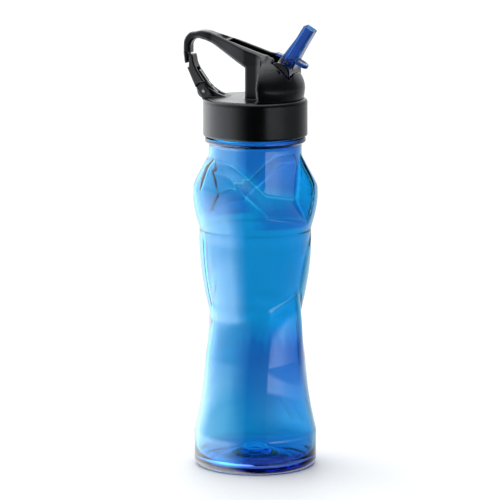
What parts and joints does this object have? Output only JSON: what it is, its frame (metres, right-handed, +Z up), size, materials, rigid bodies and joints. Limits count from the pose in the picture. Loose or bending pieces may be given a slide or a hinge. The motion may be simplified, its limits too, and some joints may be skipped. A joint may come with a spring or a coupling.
{
  "type": "sports bottle",
  "caption": "Waisted translucent sports bottle with a screw lid, a flip-up drinking spout and a carabiner loop handle with a sprung gate.",
  "frame": {"origin": "centre of the bottle's foot ring, on the plane it stands on", "axes": "+Z up along the bottle's axis, +X the way the raised spout leans, so the carry handle points to -X and the lid's mirror plane is y = 0"},
  "size_m": [0.0793, 0.0724, 0.2604],
  "materials": {
    "clear_blue": "glossy, translucent tinted plastic",
    "deep_blue": "glossy, translucent deep blue plastic",
    "black_shell": "fine satin moulded polypropylene",
    "silicone": "matt translucent silicone",
    "steel": "bright drawn wire"
  },
  "bodies": {
    "bottle": {"bottle_body": "clear_blue"},
    "gasket": {"cap_gasket": "silicone"},
    "lid": {"lid_cap": "black_shell", "carry_handle": "black_shell", "spout_seal": "silicone", "vent_valve": "silicone", "gate_pin": "steel"},
    "spout": {"spout": "deep_blue"},
    "gate": {"gate": "black_shell", "gate_spring": "steel"}
  },
  "joints": [
    {"name": "lid_lift", "type": "slide", "parent": "bottle", "child": "gasket", "axis": [0, 0, 1], "range_m": [0, 0.006]},
    {"name": "lid_turn", "type": "hinge", "parent": "gasket", "child": "lid", "pos_m": [0, 0, 0.2], "axis": [0, 0, 1], "range_deg": [0, 540]},
    {"name": "spout_fold", "type": "hinge", "parent": "lid", "child": "spout", "pos_m": [0.0173, 0, 0.2323], "axis": [0, -1, 0], "range_deg": [0, 95.5]},
    {"name": "gate_swing", "type": "hinge", "parent": "lid", "child": "gate", "pos_m": [-0.03, 0, 0.2202], "axis": [0, 1, 0], "range_deg": [0, 25], "stiffness_Nm_per_rad": 0.05, "springref_deg": -17.19, "deforming": ["gate_spring"]}
  ],
  "couplings": [
    {"joint": "lid_turn", "follows": "lid_lift", "rad_per_m": 1570.8}
  ]
}
